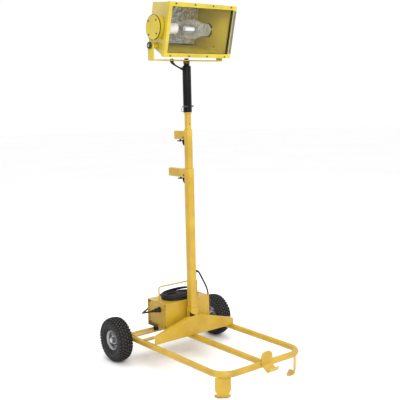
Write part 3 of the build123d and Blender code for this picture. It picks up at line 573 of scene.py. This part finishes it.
def relief(name, line, length, thick, thin, body):
    """A ribbed, tapered sleeve where a cord leaves its housing."""

    def radius(travelled):
        share = min(travelled / length, 1.0)
        rib = 0.0007 if (travelled % 0.006) < 0.0035 else 0.0
        return thick + (thin - thick) * share + (rib if 0.004 < travelled < length - 0.002 else 0.0)

    bm = bmesh.new()
    add_sweep(bm, stretch_of(line, 0.0, length, 0.001), radius, 20)
    piece(name, bm, black_rubber, body, "black_rubber")


relief("supply_strain_relief", supply_line, 0.028, 0.0092, 0.0060, "cart")
relief("outlet_strain_relief", list(reversed(mast_line)), 0.034, 0.0098, 0.0060, "cart")
relief("mast_strain_relief", mast_line, 0.022, 0.0085, 0.0060, "cart")
relief("pole_strain_relief", lamp_line, 0.020, 0.0075, 0.0055, "swivel")
relief("yoke_strain_relief", list(reversed(lamp_line)), 0.022, 0.0075, 0.0055, "swivel")


def make_plug():
    """Moulded three-pin plug, lying in the middle of the hank."""
    bm = bmesh.new()
    origin = Vector((0.0, PLUG_Y, PLUG_Z))
    profile = [(-0.030, 0.0), (-0.030, 0.0150), (-0.029, 0.0168), (-0.020, 0.0170), (-0.012, 0.0158),
            (-0.009, 0.0144)]
    for i in range(5):
        base = -0.007 + 0.0042 * i
        profile += [(base, 0.0146 - 0.0006 * i), (base + 0.0018, 0.0150 - 0.0006 * i),
                (base + 0.0024, 0.0134 - 0.0006 * i)]
    profile += [(0.016, 0.0112), (0.019, 0.0085), (0.0225, 0.0078), (0.0230, 0.0070), (0.0255, 0.0072),
            (0.0260, 0.0062), (0.030, 0.0056), (0.030, 0.0)]
    add_lathe(bm, origin, (1, 0, 0), profile, 36)
    body = piece("plug_body", bm, plug_rubber, "cart", "plug_plastic", "supply_plug")
    bm = bmesh.new()
    for side in (-1, 1):
        y = PLUG_Y + side * 0.0063
        low = [(-0.0295, y - 0.0008, PLUG_Z - 0.0012), (-0.0295, y + 0.0008, PLUG_Z - 0.0012),
               (-0.0295, y + 0.0008, PLUG_Z + 0.0052), (-0.0295, y - 0.0008, PLUG_Z + 0.0052)]
        high = [(-0.0460, yy, zz) for _, yy, zz in low]
        add_block(bm, low, high)
    add_lathe(bm, Vector((-0.0295, PLUG_Y, PLUG_Z - 0.0085)), (-1, 0, 0),
              [(0.0, 0.0), (0.0, 0.0024), (0.0150, 0.0024), (0.0165, 0.0012), (0.0165, 0.0)], 14)
    pins = piece("plug_pins", bm, brass, "cart", "brass")
    return body, pins


plug_body, plug_pins = make_plug()


# ---------------------------------------------------------------- tyres
VALVE_AT, VALVE_ANGLE = 0.044, radians(200.0)
BOLT_CIRCLE = 0.0385


def tyre(label, side):
    """Smooth carcass with ribs on the sidewall, and staggered tread blocks up to the full radius."""
    bm = bmesh.new()
    centre = Vector((side * TRACK_HALF, AXLE.y, AXLE.z))
    outside = [
        (0.0225, 0.0560), (0.0275, 0.0562), (0.0290, 0.0600), (0.0285, 0.0635), (0.0310, 0.0660), (0.0345,
                0.0690),
        (0.0385, 0.0745), (0.0398, 0.0768), (0.0412, 0.0772), (0.0420, 0.0795), (0.0432, 0.0850), (0.0437,
                0.0900),
        (0.0437, 0.0960), (0.0430, 0.1000), (0.0412, 0.1045), (0.0380, 0.1090), (0.0335, 0.1130), (0.0280,
                0.1165),
        (0.0200, 0.1195), (0.0110, 0.1212), (0.0, 0.1218),
    ]
    inside = [(0.0, 0.1180), (0.0200, 0.1160), (0.0320, 0.1100), (0.0370, 0.1000), (0.0385, 0.0900),
            (0.0350, 0.0780), (0.0230, 0.0660), (0.0210, 0.0560)]
    ring = [(-x, r) for x, r in outside[:-1]] + list(reversed(outside))
    ring += [(x, r) for x, r in reversed(inside[1:])] + [(0.0, 0.1180)] + [(-x, r) for x, r in inside[1:]]
    add_lathe(bm, centre, (1, 0, 0), ring, 96, closed=True)

    rows = (
        (0.0000, 0.1214, 0.0, 0.0112, 0.0125, 0.0084),
        (0.0150, 0.1202, 14.0, 0.0108, 0.0125, 0.0082),
        (0.0275, 0.1166, 42.0, 0.0108, 0.0125, 0.0078),
        (0.0382, 0.1082, 84.0, 0.0130, 0.0105, 0.0052),
    )
    around = 40
    tops = []
    for number, (offset, radius, lean, wide, long, tall) in enumerate(rows):
        for mirror_side in ((1,) if offset == 0.0 else (-1, 1)):
            for i in range(around):
                angle = 2 * pi * (i + 0.5 * (number % 2)) / around
                radial = Vector((0, cos(angle), sin(angle)))
                tangent = Vector((0, -sin(angle), cos(angle)))
                tilt = radians(lean) * mirror_side * (0.5 if number == 2 else 0.6)
                out = radial * cos(tilt) + Vector((1, 0, 0)) * sin(tilt)
                over = Vector((1, 0, 0)) * cos(tilt) - radial * sin(tilt)
                foot = centre + Vector((mirror_side * offset, 0, 0)) + radial * (radius - 0.002)
                shift = 0.0012 * sin(7 * i + 3 * number)
                foot = foot + tangent * shift
                low, high = [], []
                for a, b in ((-1, -1), (1, -1), (1, 1), (-1, 1)):
                    low.append(foot + over * a * wide / 2 + tangent * b * long / 2)
                    high.append(foot + out * (tall + 0.002) + over * a * wide * 0.41 + tangent * b * long * 0.40)
                add_block(bm, low, high)
                tops.append(len(bm.faces) - 5)
    bm.faces.ensure_lookup_table()
    # These outer block faces take the tread-top material: dust and a painted highlight on the tops.
    for top in tops:
        bm.faces[top].material_index = 1
    stem = centre + Vector((side * 0.0225, VALVE_AT * cos(VALVE_ANGLE), VALVE_AT * sin(VALVE_ANGLE)))
    add_lathe(bm, stem, (side, 0, 0), [
        (0.0, 0.0), (0.0, 0.0042), (0.004, 0.0042), (0.005, 0.0030), (0.015, 0.0026), (0.0155, 0.0021),
        (0.0155, 0.0)], 14)
    made = piece("tread_tyre_" + label, bm, rubber, "wheel_" + label, "tyre_rubber", "tyre_" + label,
            smooth_angle=28.0)
    made.data.materials.append(dust_and_highlight_tread)


def rim_bolts(label, side):
    """Four nuts that hold the two rim halves together."""
    bm = bmesh.new()
    for i in range(4):
        angle = pi / 4 + i * pi / 2
        place = Vector((side * (TRACK_HALF + 0.0045), AXLE.y + BOLT_CIRCLE * cos(angle),
                AXLE.z + BOLT_CIRCLE * sin(angle)))
        add_lathe(bm, place, (side, 0, 0),
                [(0.0, 0.0), (0.0, 0.0072), (0.0016, 0.0072), (0.0016, 0.0060)], 18)
        add_lathe(bm, place, (side, 0, 0),
                [(0.0016, 0.0), (0.0016, 0.0058), (0.0066, 0.0058), (0.0072, 0.0048), (0.0072, 0.0)], 6)
        add_lathe(bm, place, (side, 0, 0),
                [(0.0060, 0.0028), (0.0105, 0.0028), (0.0112, 0.0020), (0.0112, 0.0)], 12)
    piece("rim_bolts_" + label, bm, zinc, "wheel_" + label, "zinc_steel")


for label, side in (("left", -1), ("right", 1)):
    tyre(label, side)
    rim_bolts(label, side)


# ---------------------------------------------------------------- weld beads
def weld(name, routes, size):
    """Rippled fillet welds along these lines, painted over with the frame."""
    bm = bmesh.new()
    for route in routes:
        line = [Vector(p) for p in route]
        even = stretch_of(line, 0.0, length_of(line), 0.0016)
        if len(even) < 3:
            continue
        add_sweep(bm, even, lambda d: size * (0.86 + 0.14 * sin(d * 2 * pi / 0.0048)), 8)
    piece(name, bm, yellow, "cart", "yellow_paint")


def ring_line(centre, normal, radius, steps=28):
    """Points round a circle, back to the first."""
    first, second = across_of(Vector(normal).normalized())
    found = []
    for i in range(steps + 1):
        angle = 2 * pi * i / steps
        found.append(Vector(centre) + (first * cos(angle) + second * sin(angle)) * radius)
    return found


# ---------------------------------------------------------------- carried-over CAD nodes
LOOKS = {
    "yellow_paint": yellow,
    "lemon_paint": lemon,
    "black_paint": black_coat,
    "black_plastic": black_plastic,
    "nylon": nylon,
    "zinc_steel": zinc,
    "rim_zinc": rim_zinc,
    "tyre_rubber": rubber,
    "black_rubber": black_rubber,
    "cable_rubber": cable_rubber,
    "clear_glass": glass,
    "mirror": mirror,
    "ceramic": ceramic,
    "brass": brass,
    "dark_steel": dark_steel,
    "core_steel": core_steel,
    "copper_coil": copper,
    "alu_can": can_metal,
    "plug_plastic": plug_rubber,
}
for entry in frame["record"]["subparts"]:
    node = frame["nodes"][entry["node"]]
    look = LOOKS[entry["material_slot"]]
    if not node.material_slots:
        node.data.materials.append(look)
    for place in node.material_slots:
        place.material = look


OWN_LOOKS = {
    "head_screws": dark_steel,
    "box_feet": dark_steel,
    "hitch_pin": wire_steel,
    "mast_spigot": yellow,
    "bulb_glass": bulb_clear,
}
for name, look in OWN_LOOKS.items():
    for place in frame["nodes"][name].material_slots:
        place.material = look


# ---------------------------------------------------------------- head details
def tilt_knob(label, side):
    """Flat lobed knob on the tilt pivot, with a plated washer and nut in its middle."""
    low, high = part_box("tilt_knob_" + label)
    root = side * YOKE_FACE
    depth = max(abs(low.x), abs(high.x)) - YOKE_FACE
    bm = bmesh.new()
    rings = []
    lobes = 8
    around = 96
    for along, size in ((0.0, 0.62), (0.10, 0.62), (0.16, 0.96), (0.24, 1.0), (0.52, 1.0), (0.60, 0.94),
            (0.62, 0.60), (0.56, 0.56)):
        ring = []
        for i in range(around):
            angle = 2 * pi * i / around
            lobe = 1.0 - 0.055 * (0.5 + 0.5 * cos(lobes * angle)) if size > 0.9 else 1.0
            radius = KNOB_R * size * lobe
            ring.append(bm.verts.new((root + side * along * depth, PIVOT.y + radius * cos(angle),
                    PIVOT.z + radius * sin(angle))))
        rings.append(ring)
    for one, two in zip(rings, rings[1:]):
        for i in range(around):
            j = (i + 1) % around
            bm.faces.new((one[i], one[j], two[j], two[i]))
    bm.faces.new(rings[0])
    bm.faces.new(rings[-1])
    add_lathe(bm, Vector((root + side * 0.1 * depth, PIVOT.y, PIVOT.z)), (-side, 0, 0),
              [(0.0, 0.0), (0.0, 0.0058), (0.0140, 0.0058), (0.0140, 0.0)], 20)
    piece("tilt_knob_body_" + label, bm, black_plastic, "knob_" + label, "black_plastic",
            "tilt_knob_" + label)
    bm = bmesh.new()
    start = Vector((root + side * 0.565 * depth, PIVOT.y, PIVOT.z))
    add_lathe(bm, start, (side, 0, 0), [(0.0, 0.0), (0.0, 0.0088), (0.0012, 0.0088), (0.0014, 0.0070)],
            28)
    add_lathe(bm, start, (side, 0, 0),
            [(0.0012, 0.0), (0.0012, 0.0060), (0.0040, 0.0060), (0.0046, 0.0050), (0.0046, 0.0)], 6)
    piece("tilt_knob_nut_" + label, bm, zinc, "knob_" + label, "zinc_steel")


tilt_knob("left", -1)
tilt_knob("right", 1)


def head_prism(bm, x0, x1, y0, y1, front, back, cut=0.0):
    """A bar in the head's own directions, with its front edges cut off at an angle."""
    low = [in_head(x0, y0, back), in_head(x0, y0, front + cut), in_head(x0 + cut, y0, front),
           in_head(x1 - cut, y0, front), in_head(x1, y0, front + cut), in_head(x1, y0, back)]
    lift = HEAD_UP * (y1 - y0)
    add_block(bm, low, [p + lift for p in low])


def door_channel():
    """Bare channel that holds the glass at the right side of the door, between its corner blocks."""
    bm = bmesh.new()
    head_prism(bm, 0.2130, 0.2295, -0.1170, 0.1170, -0.0009, 0.0010, 0.0004)
    head_prism(bm, 0.2286, 0.2299, -0.1170, 0.1170, 0.0010, 0.0200, 0.0003)
    for y in (-0.095, -0.032, 0.032, 0.095):
        add_lathe(bm, in_head(0.2212, y, -0.0009), -HEAD_BACK,
                [(0.0, 0.0), (0.0, 0.0022), (0.0007, 0.0020), (0.0012, 0.0010), (0.0013, 0.0)], 12)
    piece("door_channel", bm, dull_alu, "head", "dark_steel")


door_channel()


def door_beads():
    """Rubber bead round the glass and the seam where the door shuts on the housing."""
    bm = bmesh.new()
    for half_w, half_h, depth, size in ((0.2090, 0.1210, 0.0040, 0.0018),
            (0.2262, 0.1402, 0.0228, 0.0016)):
        corners = [in_head(-half_w, -half_h, depth), in_head(half_w, -half_h, depth),
                   in_head(half_w, half_h, depth), in_head(-half_w, half_h, depth)]
        for i in range(4):
            start, end = corners[i], corners[(i + 1) % 4]
            add_sweep(bm, [start.lerp(end, k / 8) for k in range(9)], size, 8)
    piece("door_beads", bm, black_rubber, "head", "black_rubber")


door_beads()


def drum_details():
    """Rubber band round the outer end of the socket housing."""
    bm = bmesh.new()
    centre = Vector((-0.2500, LAMP_Y, LAMP_Z))
    add_lathe(bm, centre, (-1, 0, 0),
            [(0.0, 0.0655), (0.0, 0.0672), (-0.0035, 0.0672), (-0.0035, 0.0655)], 64, closed=True)
    piece("drum_band", bm, black_rubber, "head", "black_rubber")


drum_details()


def bulb_inside():
    """Arc tube, its wires and mount."""
    axis_at = Vector((0.0, LAMP_Y, LAMP_Z))
    bm = bmesh.new()
    add_lathe(bm, axis_at, (1, 0, 0), [
        (-0.058, 0.0), (-0.058, 0.0050), (-0.052, 0.0056), (-0.048, 0.0090), (-0.042, 0.0116), (-0.030,
                0.0124),
        (0.006, 0.0124), (0.020, 0.0114), (0.030, 0.0088), (0.034, 0.0056), (0.042, 0.0050), (0.042,
                0.0)], 28)
    piece("arc_tube", bm, quartz, "head", "clear_glass")
    bm = bmesh.new()
    for up, reach in ((0.0150, 0.070), (-0.0150, 0.064)):
        line = [axis_at + Vector((-0.086, 0, 0.4 * up)), axis_at + Vector((-0.070, 0, up)),
                axis_at + Vector((0.0, 0, up * 1.05)),
                axis_at + Vector((reach - 0.012, 0, up)), axis_at + Vector((reach, 0, 0.3 * up))]
        smooth = []
        for p, q in zip(line, line[1:]):
            smooth += [p.lerp(q, k / 6) for k in range(6)]
        add_sweep(bm, smooth + [line[-1]], 0.0011, 8)
    for along in (-0.060, 0.046):
        add_lathe(bm, axis_at + Vector((along, 0, 0)), (1, 0, 0),
                [(-0.002, 0.0062), (-0.002, 0.0158), (0.002, 0.0158), (0.002, 0.0062)], 20, closed=True)
    piece("arc_tube_frame", bm, zinc, "head", "zinc_steel")


bulb_inside()


# ---------------------------------------------------------------- latches, pole and mast details
def add_slab(bm, pivot, outline, half):
    """A flat shape in the YZ plane, this far to each side of the pivot."""
    left = [Vector((-half, pivot.y + y, pivot.z + z)) for y, z in outline]
    right = [Vector((half, pivot.y + y, pivot.z + z)) for y, z in outline]
    add_block(bm, left, right)


def soften(made, width):
    bevel = made.modifiers.new("soft_edges", "BEVEL")
    bevel.width = width
    bevel.segments = 2


def trigger(label, pivot, body):
    """Curved lever in the latch grip's slot, with its finger pad below."""
    bm = bmesh.new()
    arm = [(0.0, 0.0080), (0.012, 0.0055), (0.030, 0.0045), (0.050, 0.0040), (0.052, 0.0015),
            (0.052, -0.0200), (0.042, -0.0200),
           (0.042, -0.0045), (0.026, -0.0055), (0.0160, -0.0105), (0.0150, -0.0200), (-0.0070,
                   -0.0200), (-0.0075, -0.0080), (-0.0060, 0.0040)]
    blade = [(0.0165, -0.0136), (0.0160, -0.0240), (0.0120, -0.0360), (0.0040, -0.0455),
            (-0.0040, -0.0480), (-0.0080, -0.0450),
             (-0.0085, -0.0340), (-0.0085, -0.0136)]
    for outline, half in ((arm, 0.0045), (blade, 0.0125)):
        add_slab(bm, pivot, outline, half)
    made = piece("trigger_lever_" + label, bm, black_coat, body, "black_paint", label + "_trigger")
    soften(made, 0.0012)
    bm = bmesh.new()
    pad = [(0.038, -0.0188), (0.068, -0.0188), (0.0700, -0.0212), (0.0680, -0.0245), (0.046, -0.0258),
            (0.037, -0.0232)]
    add_slab(bm, pivot, pad, 0.0080)
    soften(piece("trigger_button_" + label, bm, black_plastic, body, "black_paint"), 0.0016)


trigger("lower", Vector((0.0, 0.183, 1.076)), "lower_latch")
trigger("upper", Vector((0.0, 0.1795, 1.292)), "upper_latch")


def pole_details():
    """Collar rings at the foot of the black pole and a bronze bush under the yoke."""
    bm = bmesh.new()
    for height in (1.4440, 1.4520, 1.4600, 1.4680):
        add_lathe(bm, Vector((0.0, MAST_Y, height)), (0, 0, 1),
                [(0.0, 0.0236), (0.0, 0.0246), (0.0012, 0.0250), (0.0024, 0.0246), (0.0024, 0.0236)], 48,
                closed=True)
    piece("pole_rings", bm, black_coat, "swivel", "black_paint")
    bm = bmesh.new()
    add_lathe(bm, Vector((0.0, MAST_Y, 1.7020)), (0, 0, 1),
            [(0.0, 0.0156), (0.0, 0.0176), (0.0090, 0.0176), (0.0098, 0.0170), (0.0098, 0.0156)], 40,
            closed=True)
    piece("neck_bush", bm, bronze, "swivel", "brass")


pole_details()


# ---------------------------------------------------------------- welds on the base
def base_welds():
    routes = []
    for side in (-1, 1):
        routes.append(ring_line((side * (RAIL_X - TUBE_R - 0.0005), AXLE.y, RAIL_Z), (1, 0, 0),
                TUBE_R + 0.0004))
    routes.append(ring_line((0.0, FRONT_Y + TUBE_R + 0.0006, RAIL_Z), (0, 1, 0), TUBE_R + 0.0004))
    routes.append(ring_line((0.0, AXLE.y - TUBE_R - 0.0006, RAIL_Z), (0, 1, 0), TUBE_R + 0.0004))
    weld("tube_welds", routes, 0.0026)
    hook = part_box("front_hook")
    front = FRONT_Y - TUBE_R
    weld("hook_welds", [
        [(x, front - 0.0008, 0.1495), (x, front - 0.0008, 0.1260)] for x in (hook[0].x + 0.002,
                hook[1].x - 0.002)
    ] + [[(hook[0].x + 0.006, FRONT_Y - 0.0135, 0.1415),
            (hook[1].x - 0.006, FRONT_Y - 0.0135, 0.1415)]], 0.0024)


base_welds()


# ---------------------------------------------------------------- floor
FLOOR_SIDES = 64
FLOOR_Z = -0.0004


def make_floor():
    bm = bmesh.new()
    middle = bm.verts.new((0, 0, FLOOR_Z))
    rings = []
    for radius in (2.0, 6.0, 14.0, 30.0):
        ring = []
        for i in range(FLOOR_SIDES):
            angle = 2 * pi * i / FLOOR_SIDES
            ring.append(bm.verts.new((radius * cos(angle), radius * sin(angle), FLOOR_Z)))
        rings.append(ring)
    for i in range(FLOOR_SIDES):
        bm.faces.new((middle, rings[0][i], rings[0][(i + 1) % FLOOR_SIDES]))
    for low, high in zip(rings, rings[1:]):
        for i in range(FLOOR_SIDES):
            j = (i + 1) % FLOOR_SIDES
            bm.faces.new((low[i], high[i], high[j], low[j]))
    floor = finish_mesh("floor", bm, floor_look())


make_floor()
